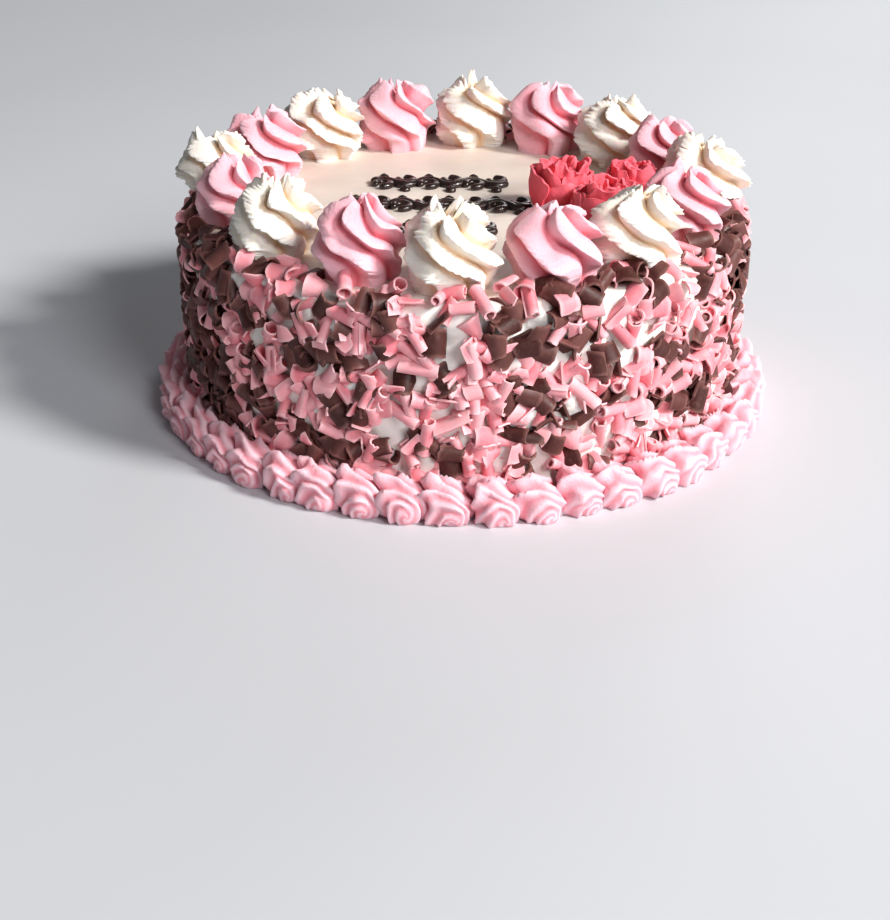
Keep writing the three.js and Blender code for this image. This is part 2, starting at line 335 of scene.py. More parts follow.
def shaving(name, dark, middle, pale, bloom_and_edge_highlight, roughness, glow=0.0):
    """Chocolate curls: each of its own tone, with fine scraping lines, a pale bloom and a painted highlight
    along their edges.
    """
    paint = Paint(name)
    colour = paint.ramp(paint.attribute("tone"), (0.0, dark), (0.5, middle), (1.0, pale))
    dust = paint.ramp(paint.noise(scale=420, detail=4, roughness=0.6), (0.52, 0.0), (0.78, 0.3))
    colour = paint.mix(dust, colour, bloom_and_edge_highlight)
    # Painted highlight: the curl's edges are lightened towards the bloom colour.
    edge = paint.ramp(paint.attribute("edge"), (0.55, 0.0), (1.0, 0.6))
    colour = paint.mix(edge, colour, bloom_and_edge_highlight)
    fine = paint.bump(paint.noise(scale=1500, detail=4, roughness=0.6), depth=0.1, strength=0.6)
    lines = paint.bump(paint.noise(scale=260), depth=0.35, strength=0.4, under=fine)
    rough = paint.ramp(paint.noise(scale=300, detail=2), (0.35, roughness - 0.1), (0.7, roughness + 0.12))
    return paint.finish(
        Base_Color=colour, Roughness=rough, Normal=lines, Subsurface_Weight=glow,
        Subsurface_Radius=(1.0, 0.4, 0.3), Subsurface_Scale=0.0015, Specular_IOR_Level=0.28,
    )


def icing():
    """The coat: pale cream, smoothed on the top with a palette knife, painted whiter where it shows at the
    side to offset the shade between the curls.
    """
    paint = Paint("icing")
    tint = paint.ramp(paint.noise(scale=28), (0.3, TOP_ICING[0]), (0.7, TOP_ICING[1]))
    strokes = paint.noise(scale=60, stretch=(1.0, 7.0, 1.0))
    colour = paint.mix(0.25, tint, paint.ramp(strokes, (0.3, 0.85), (0.7, 1.0)), "MULTIPLY")
    # Painted light: the side is mixed towards a whiter cream.
    colour = paint.mix(paint.attribute("side"), colour, SIDE_ICING_PAINTED_LIGHT)
    knife = paint.bump(strokes, depth=0.35, strength=0.3)
    fine = paint.bump(paint.noise(scale=700, detail=4, roughness=0.6), depth=0.15, strength=0.35, under=knife)
    return paint.finish(
        Base_Color=colour, Roughness=0.46, Normal=fine, Subsurface_Weight=0.3,
        Subsurface_Radius=(1.0, 0.75, 0.5), Subsurface_Scale=0.003, Specular_IOR_Level=0.4,
    )


def glossy_chocolate():
    """Dark chocolate piping: nearly black and glossy, with a faint brown cast in places."""
    paint = Paint("dark_chocolate")
    colour = paint.ramp(paint.noise(scale=300, detail=2), (0.3, DARK_CHOCOLATE[0]), (0.7, DARK_CHOCOLATE[1]))
    rough = paint.ramp(paint.noise(scale=220, detail=2), (0.3, 0.2), (0.7, 0.34))
    wavy = paint.bump(paint.noise(scale=240, detail=2), depth=0.3, strength=0.3)
    return paint.finish(
        Base_Color=colour, Roughness=rough, Normal=wavy, Specular_IOR_Level=0.4,
        Coat_Weight=0.2, Coat_Roughness=0.15,
    )


# ======== Swirls ========

RIDGES = 6                  # ridges of one swirl
SWIRL_ROWS = 110            # places from its foot to its top
RIDGE_STEPS = 18            # places across one ridge
UNDER_SHARE = 0.21          # share of a ridge's width that lies under its lip
CREST_CURVE = np.array([    # up the crests: share of radius, share of height
    (0.78, 0.00), (0.82, 0.07), (0.89, 0.16), (0.96, 0.28), (0.995, 0.40), (1.00, 0.52), (0.98, 0.64),
    (0.93, 0.75), (0.84, 0.84), (0.69, 0.91), (0.50, 0.95), (0.30, 0.97), (0.10, 0.96),
])
VALLEY_CURVE = np.array([   # up the valleys between them
    (0.56, 0.00), (0.58, 0.08), (0.61, 0.18), (0.64, 0.30), (0.66, 0.42), (0.66, 0.54), (0.63, 0.64),
    (0.57, 0.72), (0.48, 0.77), (0.37, 0.80), (0.26, 0.81), (0.15, 0.81), (0.05, 0.82),
])
CURVE_STEPS = 400           # places on a curve while it is smoothed
CURVE_BLUR = 12             # places to each side that a smoothed place is the mean of
RIDGE_LEAN = (              # share of the way up, and the ridges' lean from upright in degrees
    (0.0, 0), (0.14, 8), (0.26, 52), (0.45, 63), (0.62, 58), (0.74, 15), (0.86, -20), (1.0, -25),
)
LEAN_SPREAD = 4             # degrees that one swirl leans more or less than another
LEAST_TURNING = 0.45        # share of the radius within which the ridges wind no faster
RIDGE_WIDTHS = (0.8, 1.25)  # width of a ridge, against the others
RIDGE_ENDS = (0.84, 0.99)   # share of the way up at which a ridge tears off
RIDGE_FADE = 0.07           # share of the way up over which it then ends
RIDGE_LEFT = 0.25           # share of it that goes on
RIDGE_REACH = (-0.07, 0.05)     # how much further out one ridge stands than another
PEAK_LOW, PLAIN_PEAK, SERRATED_PEAK = -0.03, 0.03, 0.08     # rise of its torn end, share of the height
TIP_RISE, TIP_WIDTH = 0.03, 0.035       # what every torn end rises by, and its share of the way up
SAG = 0.14                  # how far a ridge hangs over the valley below it, share of the radius
PLAIN_JAG, SERRATED_JAG = 0.12, 0.37    # depth of the serration of its lip, in millimetres
TOP_SHIFT = 1.8             # how far a swirl's top may stand aside
SWIRL_SINK = 0.6            # how deep its foot is pressed into the coat
SWIRL_SPARE = 1.0           # how much further out its ridges reach than its solid
SWIRL_SEED, SWIRL_SEED_STEP, SWIRL_SPIN = 40, 13, 47        # the last in degrees from one to the next


def ridge_profile():
    """Places across one ridge, closer together at its lip, and how far out of the valley each stands."""
    s = np.linspace(-1, 1, RIDGE_STEPS, endpoint=False) + 1 / RIDGE_STEPS
    s = np.sign(s) * np.abs(s) ** 1.3
    across = np.where(s < 0, s * UNDER_SHARE, s * (1 - UNDER_SHARE))
    side = np.clip(np.abs(s), 0, 1)
    crest = np.where(s < 0, (1 - side ** 1.1) ** 1.4, 1 - side ** 1.45)
    return across, crest


def evenly(curve, count):
    """Places at equal distances along a smoothed line through a curve's points, and that distance."""
    knots = np.linspace(0, 1, len(curve))
    fine = np.linspace(0, 1, CURVE_STEPS)
    line = np.stack([np.interp(fine, knots, curve[:, i]) for i in range(2)], -1)
    window = 2 * CURVE_BLUR + 1
    for _ in range(3):
        before = 2 * line[:1] - line[CURVE_BLUR:0:-1]
        after = 2 * line[-1:] - line[-2:-CURVE_BLUR - 2:-1]
        padded = np.concatenate([before, line, after])
        line = np.stack([np.convolve(padded[:, i], np.ones(window) / window, "valid") for i in range(2)], -1)
    length = np.concatenate([[0], np.cumsum(np.hypot(*np.diff(line, axis=0).T))])
    at = np.linspace(0, length[-1], count)
    return np.interp(at, length, line[:, 0]), np.interp(at, length, line[:, 1]), length[-1] / (count - 1)


def swirl(shape, place, radius, height, seed, serrated, start):
    """One piped swirl: upright ridges at the foot that wind clockwise over its dome and end in torn tips."""
    rng = np.random.default_rng(seed)
    u = np.linspace(0, 1, SWIRL_ROWS)
    crest_out, crest_up, step = evenly(CREST_CURVE * (radius, height), SWIRL_ROWS)
    valley_out, valley_up, _ = evenly(VALLEY_CURVE * (radius, height), SWIRL_ROWS)

    # Where round the swirl each place lies: ridges of uneven width, wound by their lean.
    lean = np.radians(np.interp(u, *np.transpose(RIDGE_LEAN)) + rng.uniform(-LEAN_SPREAD, LEAN_SPREAD))
    wind = -np.cumsum(np.tan(lean) * step / np.maximum(crest_out, LEAST_TURNING * radius))
    across, crest = ridge_profile()
    widths = rng.uniform(*RIDGE_WIDTHS, RIDGES)
    widths *= TAU / widths.sum()
    firsts = np.cumsum(widths) - widths
    angles = np.concatenate([first + width * (UNDER_SHARE + across) for first, width in zip(firsts, widths)])
    ridge = np.repeat(np.arange(RIDGES), RIDGE_STEPS)
    angle = angles[None, :] + wind[:, None] + start

    # How far each place stands out of the valleys: full up to its ridge's torn end.
    end = rng.uniform(*RIDGE_ENDS, RIDGES)[ridge]
    peak = rng.uniform(PEAK_LOW, SERRATED_PEAK if serrated else PLAIN_PEAK, RIDGES)[ridge]
    going = 1 - smooth(u[:, None], end, end + RIDGE_FADE)
    crests = np.tile(crest, RIDGES)[None, :] * (RIDGE_LEFT + (1 - RIDGE_LEFT) * going)
    reach = rng.uniform(*RIDGE_REACH, RIDGES)[ridge]
    out = valley_out[:, None] + (crest_out - valley_out)[:, None] * crests
    out = out * (1 + reach * crests)
    up = valley_up[:, None] + (crest_up - valley_up)[:, None] * crests
    sag = SAG * radius * smooth(u, 0.12, 0.4) * (1 - smooth(u, 0.62, 0.85))
    up = up - sag[:, None] * crests ** 1.5
    torn = np.exp(-((u[:, None] - end) / TIP_WIDTH) ** 2) * crests
    up = up + height * (peak + TIP_RISE) * torn

    # Serrated lips, and ridges that swell and thin a little along their way.
    path = np.stack(np.broadcast_arrays(7.0 * ridge, 45 * u[:, None], 0.0), -1).reshape(-1, 3)
    jag = (SERRATED_JAG if serrated else PLAIN_JAG) * crests ** 5
    out = out + jag * ripple(path, 1.1, seed + 5).reshape(out.shape)
    up = up + 0.6 * jag * ripple(path, 2.0, seed + 6).reshape(out.shape)
    out = out + 0.35 * crests * ripple(path, 9.0, seed + 7).reshape(out.shape)

    rings = np.stack([out * np.cos(angle), out * np.sin(angle), up], -1)
    flat = rings.reshape(-1, 3)
    wander(flat, 0.75, 17.0, seed + 10, (1, 1, smooth(flat[:, 2], 0.0, 4.0)))
    flat[:, :2] += rng.uniform(-TOP_SHIFT, TOP_SHIFT, 2) * (flat[:, 2:3] / height) ** 2
    flat[:, 2] = np.maximum(flat[:, 2], 0.0)
    # depth carries painted light: the cream darkens in the valleys between the ridges as painted shade and
    # pales on their crests as a painted highlight.
    shape.body(flat.reshape(rings.shape) + np.array(place), depth=crests)


# ======== Shell border ========

SHELL_ROWS = 50
SHELL_STEPS = 38
SHELL_MIDDLE = (9.2, 5.4)   # distance from the coat, height
SHELL_HALF = (8.3, 9.0, 8.6)    # half sizes outwards, along the border and upwards
SHELL_SIZES = (0.95, 1.05)
SHELL_POWER = 2.5           # 2 is an ellipsoid, and more is squarer
SHELL_EYE = (0.86, 0.36, -0.34)     # way from a shell's middle to its eye: outwards, along and up
SHELL_TIP = (0.25, -0.35, 0.9)      # way to its torn tips
SHELL_TIPS = 3
SHELL_RIDGES = (            # degrees from the eye, and the ridges up to there
    (0, 0), (30, 1.5), (60, 2.6), (90, 3.4), (120, 4.0), (180, 5.0),
)
SHELL_RELIEF = 1.8          # depth of its ridges
SHELL_ARMS = 2              # arms of its spiral
EYE_SLANT = 0.3             # radians that the crowded side of the spiral lies off level
SHELL_STRAY = 0.06          # share of a shell's width that it may lie aside
SHELL_SEED = 500


def shell(shape, index, seed):
    """One piped shell: a plump blob at the wall's foot, ridged in a spiral round an eye low on its right."""
    rng = np.random.default_rng(seed)
    eye = np.array(SHELL_EYE) + rng.normal(0, 0.07, 3)
    eye /= np.linalg.norm(eye)
    aside = np.cross(eye, (0, 0, 1.0))
    aside /= np.linalg.norm(aside)
    upright = np.cross(aside, eye)

    # Ways out of the shell's middle, by their angle from the eye and their angle round it.
    share = np.linspace(0.012, 0.988, SHELL_ROWS)
    polar = math.pi * (share - 0.06 * np.sin(TAU * share))[:, None]
    around = np.linspace(0, TAU, SHELL_STEPS, endpoint=False)[None, :]
    ways = (
        np.cos(polar)[..., None] * eye
        + (np.sin(polar) * np.cos(around))[..., None] * upright
        + (np.sin(polar) * np.sin(around))[..., None] * aside
    )
    half = np.array(SHELL_HALF) * rng.uniform(*SHELL_SIZES, 3)
    reach = (np.abs(ways / half) ** SHELL_POWER).sum(-1) ** (-1 / SHELL_POWER)

    # The spiral of ridges, more crowded to the right of the eye.
    rightward = np.clip(-np.sin(around - EYE_SLANT), 0, 1) * np.ones_like(polar)
    phase = np.interp(np.degrees(polar * (1 + 0.5 * rightward)), *np.transpose(SHELL_RIDGES))
    phase = phase - SHELL_ARMS * around / TAU + rng.uniform(0, 0.6)
    phase = phase + 0.10 * ripple(ways.reshape(-1, 3) * 8, 9, seed + 1).reshape(phase.shape)
    ridge = np.abs(2 * (phase % 1) - 1) ** 1.5
    ragged = 1 + 0.7 * smooth(ways[..., 2] - 0.8 * ways[..., 1], 0.3, 1.1)
    fade = smooth(polar, 0.25, 0.75) * (1 - smooth(polar, 2.5, 3.0))
    reach = reach + SHELL_RELIEF * (ridge - 0.6) * fade * ragged
    for _ in range(SHELL_TIPS):
        tip = np.array(SHELL_TIP) + rng.normal(0, 0.3, 3)
        tip /= np.linalg.norm(tip)
        reach = reach + rng.uniform(0.6, 2.0) * np.exp(-(1 - ways @ tip) / 0.02)

    # Leaned along the border, made uneven, and set at the wall's foot.
    body = ways * reach[..., None]
    body[..., 2] -= 0.16 * body[..., 1] * smooth(body[..., 2], -2, 8)
    body[..., 1] += 0.9 * rng.normal(0, 0.4) - 2.0 * smooth(body[..., 2], 0, 9)
    flat = body.reshape(-1, 3)
    wander(flat, 0.3, 9.0, seed + 3)
    body = flat.reshape(body.shape) + (COAT_RADIUS + SHELL_MIDDLE[0], 0, SHELL_MIDDLE[1])
    body[..., 2] = np.maximum(body[..., 2], 0.05)
    azimuth = TAU * (index + rng.uniform(-SHELL_STRAY, SHELL_STRAY)) / SHELL_COUNT
    # depth carries painted light: the cream darkens in the grooves of the spiral as painted shade and pales
    # on its ridges as a painted highlight.
    shape.body(turn_z(body, azimuth), depth=np.clip(ridge, 0, 1))


# ======== Roses ========

PETAL_ROWS, PETAL_COLUMNS = 13, 19
PETAL_FOOT, PETAL_LIP = 1.9, 0.9    # thickness in millimetres
# Rounds of petals, from the outside in: how many, how far out and how tall against the rose, radians to each
# side, how far the lip turns out, and how ruffled it is.
Round = namedtuple("Round", "petals out tall half flare ruffles")
ROSE_ROUNDS = (
    Round(4, 0.95, 0.80, 0.98, 0.05, 0.5),
    Round(4, 0.77, 0.96, 0.92, 0.08, 0.9),
    Round(4, 0.56, 1.03, 0.88, 0.12, 1.1),
    Round(3, 0.36, 1.02, 1.05, 0.09, 0.9),
    Round(2, 0.17, 0.97, 1.50, 0.05, 0.5),
)
ROUND_TURN = 0.7            # radians from one round to the next
ROSE_HEART = (              # cushion in its middle: share of radius, share of height
    (0.74, 0.0), (0.80, 0.12), (0.74, 0.35), (0.52, 0.58), (0.2, 0.68),
)
HEART_COLUMNS = 28
ROSE_SINK = 0.4             # how deep its foot is pressed into the coat
ROSE_SPARE = 1.8            # how much further out its petals reach than its solid
ROSE_TALL = 1.1             # height that its petals are measured by, against its solid
ROSE_SEED = 70
ROSE_CREASE = 60


def petal(shape, place, size, azimuth, out, tall, half, flare, ruffles, rng):
    """One petal: a cupped sheet wrapped round the rose's middle, thinning to a ruffled, outturned lip."""
    v, u = np.meshgrid(np.linspace(0, 1, PETAL_ROWS), np.linspace(-1, 1, PETAL_COLUMNS), indexing="ij")
    radius, height = size
    up = tall * height * v * (1 - 0.26 * np.abs(u) ** 3.0)
    belly = 0.68 + 0.32 * np.sin(math.pi * np.minimum(v, 0.7) / 1.4) - 0.10 * smooth(v, 0.7, 1.0)
    ring = out * radius * belly + 0.09 * radius * u
    lip = flare * radius * smooth(v, 0.62, 1.0) ** 1.3
    broad = np.sin(u * rng.uniform(5, 8) + rng.uniform(0, TAU))
    narrow = np.sin(u * rng.uniform(11, 16) + rng.uniform(0, TAU))
    wave = broad + 0.5 * narrow
    ring = ring + lip + 0.055 * radius * ruffles * smooth(v, 0.45, 1.0) * wave
    up = up - 0.4 * lip * smooth(v, 0.8, 1.0)
    up = up + 0.03 * height * ruffles * smooth(v, 0.7, 1.0) * np.roll(wave, 2, 1)
    angle = azimuth + half * u * (0.82 + 0.18 * v)
    grid = np.stack([ring * np.cos(angle), ring * np.sin(angle), up], -1)
    flat = grid.reshape(-1, 3)
    hold = smooth(v, 0.0, 0.4).ravel()
    wander(flat, 0.3, 6.0, int(rng.integers(1 << 30)), (hold, hold, hold))
    flat[:, 2] = np.maximum(flat[:, 2], 0.0)
    grid = flat.reshape(grid.shape) + np.array(place)
    # Painted light: depth grows from the petal's foot to its lip, so the petal darkens deep in the rose as
    # painted shade and pales at its lip as a painted highlight.
    shape.sheet(grid, PETAL_FOOT - (PETAL_FOOT - PETAL_LIP) * smooth(v, 0.3, 1.0), depth=0.15 + 0.85 * v)


def rose(shape, place, radius, height, seed):
    """A piped rose: a cushion wrapped in rounds of upright petals, tighter towards its middle."""
    rng = np.random.default_rng(seed)
    heart = lathe([(r * radius, z * height) for r, z in ROSE_HEART], HEART_COLUMNS)
    # Painted shade: the cushion takes the darkest colour, deep in the rose's middle.
    shape.body(heart + np.array(place), depth=0.0)
    first = rng.uniform(0, TAU)
    for row in ROSE_ROUNDS:
        first += ROUND_TURN
        for i in range(row.petals):
            azimuth = first + TAU * i / row.petals + rng.uniform(-0.15, 0.15)
            out = row.out * rng.uniform(0.95, 1.04)
            tall = row.tall * rng.uniform(0.82, 1.05)
            half = row.half * rng.uniform(0.9, 1.15)
            flare = row.flare * rng.uniform(-0.6, 2.6)
            petal(shape, place, (radius, height), azimuth, out, tall, half, flare, row.ruffles, rng)


# ======== Curls on the side ========

CURL_REACH = 109.6          # how far out the curls may stand
CURL_LOW = 9.0
RIM_CURLS = 4.0             # how far onto the top the curls lie
RIM_BEND = RIM_ROUND * math.pi / 2
CURL_HIGH = CAKE_TOP - RIM_ROUND + RIM_BEND + RIM_CURLS     # measured up the side and over the rim
FOOT_CLEAR = math.radians(6.5)      # before a swirl's foot the curls stay lower, by this much to each side
FOOT_LIMIT = 76.0
PLACE_TRIES = 8             # candidates for each evenly scattered place
CURL_CREASE = 40
CURL_TIP = 0.33             # radians by which curls are tipped off the wall
CURL_ROLL = 0.55            # radians by which those that lie back outwards are rolled about themselves
EDGE_NIBBLE = 0.14          # unevenness of their edges

# Kinds of curl, as ranges: width along the roll, radius of the roll, degrees that it wraps, growth of the
# radius a turn, taper, how pointed its outline is. Then the mesh's rows and columns.
Curl = namedtuple("Curl", "width radius wrap growth taper point rows columns")
CURL_KINDS = {
    "tile": Curl((7.0, 10.5), (2.8, 4.2), (140, 215), (0.0, 1.2), (-0.2, 0.2), (0.0, 0.5), 4, 13),
    "scroll": Curl((6.5, 9.5), (2.2, 3.2), (230, 380), (0.6, 1.6), (-0.15, 0.15), (0.0, 0.3), 4, 16),
    "pencil": Curl((8.0, 14.0), (1.5, 2.3), (300, 480), (0.3, 1.0), (-0.12, 0.12), (0.0, 0.15), 3, 14),
    "ribbon": Curl((5.5, 9.5), (2.6, 4.6), (90, 210), (0.0, 2.0), (-0.35, 0.35), (0.2, 0.7), 3, 10),
}

# Each colour: places tried, seed, kinds by share, 1 where it lies in brown clumps and -1 in pink ones, how
# strong a clump has to be, how deep a curl is pushed in, share of the curls that lie any way up, thickness.
Scatter = namedtuple("Scatter", "count seed kinds lean least depths tumbled thickness")
BROWN = Scatter(1500, 21, ("tile", "tile", "tile", "scroll"), 1, 0.22, (-1.4, 1.4), 0.42, 0.75)
PINK = Scatter(2100, 33, ("pencil", "ribbon"), -1, -0.02, (-1.4, 1.8), 0.5, 0.65)
STRAYS = 0.6                # how far curls stray into the other colour's clumps

CLUMP_SIZES = ((0.6, 17, 4), (0.3, 60, 5))      # strength, size in millimetres and seed
CLUMP_SHIFT = -0.2
BROWN_SPOTS = (             # where brown gathers: azimuth and width in degrees, lowest height, strength
    (210, 34, -15, 0.8), (-48, 32, 55, 0.6),
)
SPOT_SOFT = 15              # millimetres over which a spot begins


def spread_places(count, seed):
    """Azimuth and distance up the side of evenly scattered places: each the best of a few candidates."""
    rng = np.random.default_rng(seed)
    girth = TAU * COAT_RADIUS
    taken = np.empty((count, 2))
    for i in range(count):
        tries = rng.uniform((0, CURL_LOW), (girth, CURL_HIGH), (PLACE_TRIES, 2))
        dx = np.abs(tries[:, None, 0] - taken[None, :i, 0])
        dx = np.minimum(dx, girth - dx)
        gap = np.hypot(dx, tries[:, None, 1] - taken[None, :i, 1])
        taken[i] = tries[gap.min(1).argmax()] if i else tries[0]
    return taken[:, 0] / COAT_RADIUS, taken[:, 1]


def under_swirl(azimuth):
    """Whether an azimuth lies before the foot of a swirl."""
    step = TAU / SWIRL_COUNT
    aside = (azimuth + TAU / 4 + step / 2) % step - step / 2
    return abs(aside) < FOOT_CLEAR


def side_frame(distance):
    """Radius, height and outward slope in radians of a place that far up the side and over the rim."""
    straight = CAKE_TOP - RIM_ROUND
    if distance <= straight:
        return COAT_RADIUS, distance, 0.0
    bend = min((distance - straight) / RIM_ROUND, math.pi / 2)
    inward = max(0.0, distance - straight - RIM_BEND)
    middle = COAT_RADIUS - RIM_ROUND
    return middle + RIM_ROUND * math.cos(bend) - inward, straight + RIM_ROUND * math.sin(bend), bend


def rolled(rng, kind):
    """Middle surface of a rolled shaving, its roll along X and its back up, and 0 to 1 towards its edges."""
    curl = CURL_KINDS[kind]
    v, u = np.meshgrid(np.linspace(-1, 1, curl.rows), np.linspace(-1, 1, curl.columns), indexing="ij")
    width, radius = rng.uniform(*curl.width), rng.uniform(*curl.radius)
    wrap, growth = math.radians(rng.uniform(*curl.wrap)), rng.uniform(*curl.growth)
    point = rng.uniform(*curl.point)
    one_end = np.where(u > 0, 1.0, rng.uniform(0, 1))
    narrow = 1 - point * one_end * np.abs(u) ** rng.uniform(1.2, 2.6)
    x = 0.5 * width * v * narrow + 0.12 * width * rng.uniform(-1, 1) * u ** 2
    x = x + np.sign(v) * EDGE_NIBBLE * rng.normal(size=(1, curl.columns)) * (np.abs(v) > 0.9)
    angle = 0.5 * wrap * u + rng.uniform(-0.3, 0.3) * v
    r = radius * (1 + rng.uniform(*curl.taper) * v) + growth * 0.5 * wrap * u / TAU
    grid = np.stack([x, r * np.sin(angle), r * np.cos(angle) - radius * 0.5], -1)
    return grid, np.maximum(np.abs(v), np.abs(u)) ** 6


def lay(grid, rng, azimuth, distance, depth, tumbled):
    """A curl laid on the side: rolled about itself, turned any way, tipped, and pushed in to its depth."""
    roll = rng.uniform(0, TAU) if rng.random() < tumbled else rng.normal(0, CURL_ROLL)
    turn = rotation("X", rng.normal(0, CURL_TIP)) @ rotation("Y", rng.normal(0, CURL_TIP))
    turn = turn @ rotation("Z", rng.uniform(0, TAU)) @ rotation("X", roll)
    local = grid @ turn.T
    radius, height, slope = side_frame(distance)
    low, high = local[..., 2].min(), local[..., 2].max()
    lift = min(-depth - low, CURL_REACH - COAT_RADIUS - high)
    outward, along, up = local[..., 2] + lift, local[..., 0], local[..., 1]
    places = np.stack([
        radius + outward * math.cos(slope) - up * math.sin(slope),
        along,
        height + outward * math.sin(slope) + up * math.cos(slope),
    ], -1)
    return turn_z(places, azimuth)


def clump(azimuths, distances):
    """Where the side leans to brown, above zero, or to pink, below zero."""
    spots = np.stack([COAT_RADIUS * np.cos(azimuths), COAT_RADIUS * np.sin(azimuths), distances], -1)
    lean = sum(strength * ripple(spots, size, seed) for strength, size, seed in CLUMP_SIZES) + CLUMP_SHIFT
    for azimuth, width, low, strength in BROWN_SPOTS:
        aside = (azimuths - math.radians(azimuth) + math.pi) % TAU - math.pi
        above = smooth(distances, low - SPOT_SOFT, low + SPOT_SOFT)
        lean = lean + strength * np.exp(-(aside / math.radians(width)) ** 2) * above
    return lean


def scatter(colour):
    """One colour's curls: evenly scattered, thinned out where the side leans to the other colour."""
    azimuths, distances = spread_places(colour.count, colour.seed)
    favour = colour.lean * clump(azimuths, distances)
    rng = np.random.default_rng(colour.seed + 1)
    shape = Shape()
    for azimuth, distance, wanted in zip(azimuths, distances, favour):
        if wanted + rng.normal(0, STRAYS) < colour.least:
            continue
        if under_swirl(azimuth):
            distance = distance * FOOT_LIMIT / CURL_HIGH
        grid, edge = rolled(rng, rng.choice(colour.kinds))
        laid = lay(grid, rng, azimuth, distance, rng.uniform(*colour.depths), colour.tumbled)
        # edge marks the rim that the painted highlight lightens.
        shape.sheet(laid, colour.thickness, tone=rng.random(), edge=edge)
    return shape


# ======== Coat ========

COAT_COLUMNS, WALL_ROWS, RIM_ROWS, TOP_ROWS = 240, 30, 6, 26
TOP_START, TOP_END = 2, 1.5     # rings of the top: first inside the rim by, last radius
SIDE_FADE = (12, 1)         # distances inside the wall between which the top turns into the side
WALL_SWELL = 1.6            # how far the wall stands out behind the curls
WALL_LUMPS = ((0.9, 11, 31), (0.5, 5, 32))      # height, size and seed
KNIFE_WAVE = (0.16, 26, 33)


def coat():
    """The cream coat: a wall roughened by the curls pressed into it, a soft rim and a knife-smoothed top."""
    angle = np.linspace(0, TAU, COAT_COLUMNS, endpoint=False)
    wall = [(COAT_RADIUS, z) for z in np.linspace(0, CAKE_TOP - RIM_ROUND, WALL_ROWS)]
    rim = [
        (COAT_RADIUS - RIM_ROUND * (1 - math.cos(a)), CAKE_TOP - RIM_ROUND * (1 - math.sin(a)))
        for a in np.linspace(0.2, math.pi / 2, RIM_ROWS)
    ]
    top = [(r, CAKE_TOP) for r in np.linspace(COAT_RADIUS - RIM_ROUND - TOP_START, TOP_END, TOP_ROWS)]
    profile = np.array(wall + rim + top)
    r, z = profile[:, :1], profile[:, 1:]
    rings = np.stack(np.broadcast_arrays(r * np.cos(angle), r * np.sin(angle), z + 0 * angle), -1).copy()
    flat = rings.reshape(-1, 3)
    side = smooth(np.hypot(flat[:, 0], flat[:, 1]), COAT_RADIUS - SIDE_FADE[0], COAT_RADIUS - SIDE_FADE[1])
    lump = WALL_SWELL
    for height, size, seed in WALL_LUMPS:
        lump = lump + height * ripple(flat, size, seed)
    normal = flat.copy()
    normal[:, 2] = 0
    normal /= np.maximum(np.linalg.norm(normal, axis=1, keepdims=True), TINY)
    flat += normal * (side * lump)[:, None]
    height, size, seed = KNIFE_WAVE
    flat[:, 2] += (1 - side) * height * ripple(flat, size, seed) * smooth(flat[:, 2], CAKE_TOP - 1, CAKE_TOP)
    shape = Shape()
    rings = flat.reshape(rings.shape)
    foot, middle = np.array([0, 0, 0.0]), np.array([0, 0, CAKE_TOP])
    # side also marks where the icing is painted whiter, as painted light.
    shape.body(rings, foot, middle, side=side.reshape(rings.shape[:2]))
    return shape


# ======== Ornament ========

STROKE_RADIUS = 1.9
STROKE_STEP = 0.7           # distance between its rings
STROKE_COLUMNS = 14
STROKE_FLAT = 0.9           # height against width
ROWS_OF_SCROLLS = (         # middle x and y of each row, and its waves
    (-9.5, 23, 3), (-10, -5, 4), (-6, -34, 2),
)
WAVE_LENGTH, WAVE_SWING = 18.0, 3.2
WAVE_STEPS = 60             # places on a stem for each wave
STEM_RISE, HOOK_RISE = 1.0, 1.2     # above the top
HOOK_TURN = (-20, 300)      # degrees
HOOK_REACH = (3.6, 2.9)     # radius at its start and its end
HOOK_STEPS = 40
HOOK_ASIDE = 2.4            # from the row's line to the middle of a hook
HOOK_WEIGHT = 0.78          # thickness against the stem
DOT_ASIDE = 7.8
DOT_PROFILE = ((1.9, -0.4), (2.2, 0.4), (2.05, 1.1), (1.5, 1.7), (0.8, 2.1), (0.3, 2.3))    # radius, height
DOT_COLUMNS = 18
ORNAMENT_SEED, ORNAMENT_SEED_STEP = 300, 7


def stroke(shape, path, seed, weight=1.0):
    """A piped stroke along a path of (n, 3) places: round, a little uneven, with rounded ends."""
    length = np.concatenate([[0], np.cumsum(np.linalg.norm(np.diff(path, axis=0), axis=1))])
    count = max(6, int(length[-1] / STROKE_STEP))
    at = np.linspace(0, length[-1], count)
    line = np.stack([np.interp(at, length, path[:, i]) for i in range(3)], -1)
    along = np.gradient(line, axis=0)
    along /= np.linalg.norm(along, axis=1, keepdims=True)
    side = np.stack([-along[:, 1], along[:, 0], 0 * at], -1)
    side /= np.linalg.norm(side, axis=1, keepdims=True)
    ends = np.clip(np.minimum(at, length[-1] - at) / STROKE_RADIUS, 0.02, 1)
    fat = STROKE_RADIUS * weight * np.sqrt(1 - (1 - ends) ** 2) * (1 + 0.10 * ripple(line, 6.5, seed))
    spin = np.linspace(0, TAU, STROKE_COLUMNS, endpoint=False)
    rings = (
        line[:, None, :]
        + side[:, None, :] * (fat[:, None] * np.cos(spin))[..., None]
        + np.array([0, 0, 1.0]) * (fat[:, None] * STROKE_FLAT * np.sin(spin))[..., None]
    )
    shape.body(rings)


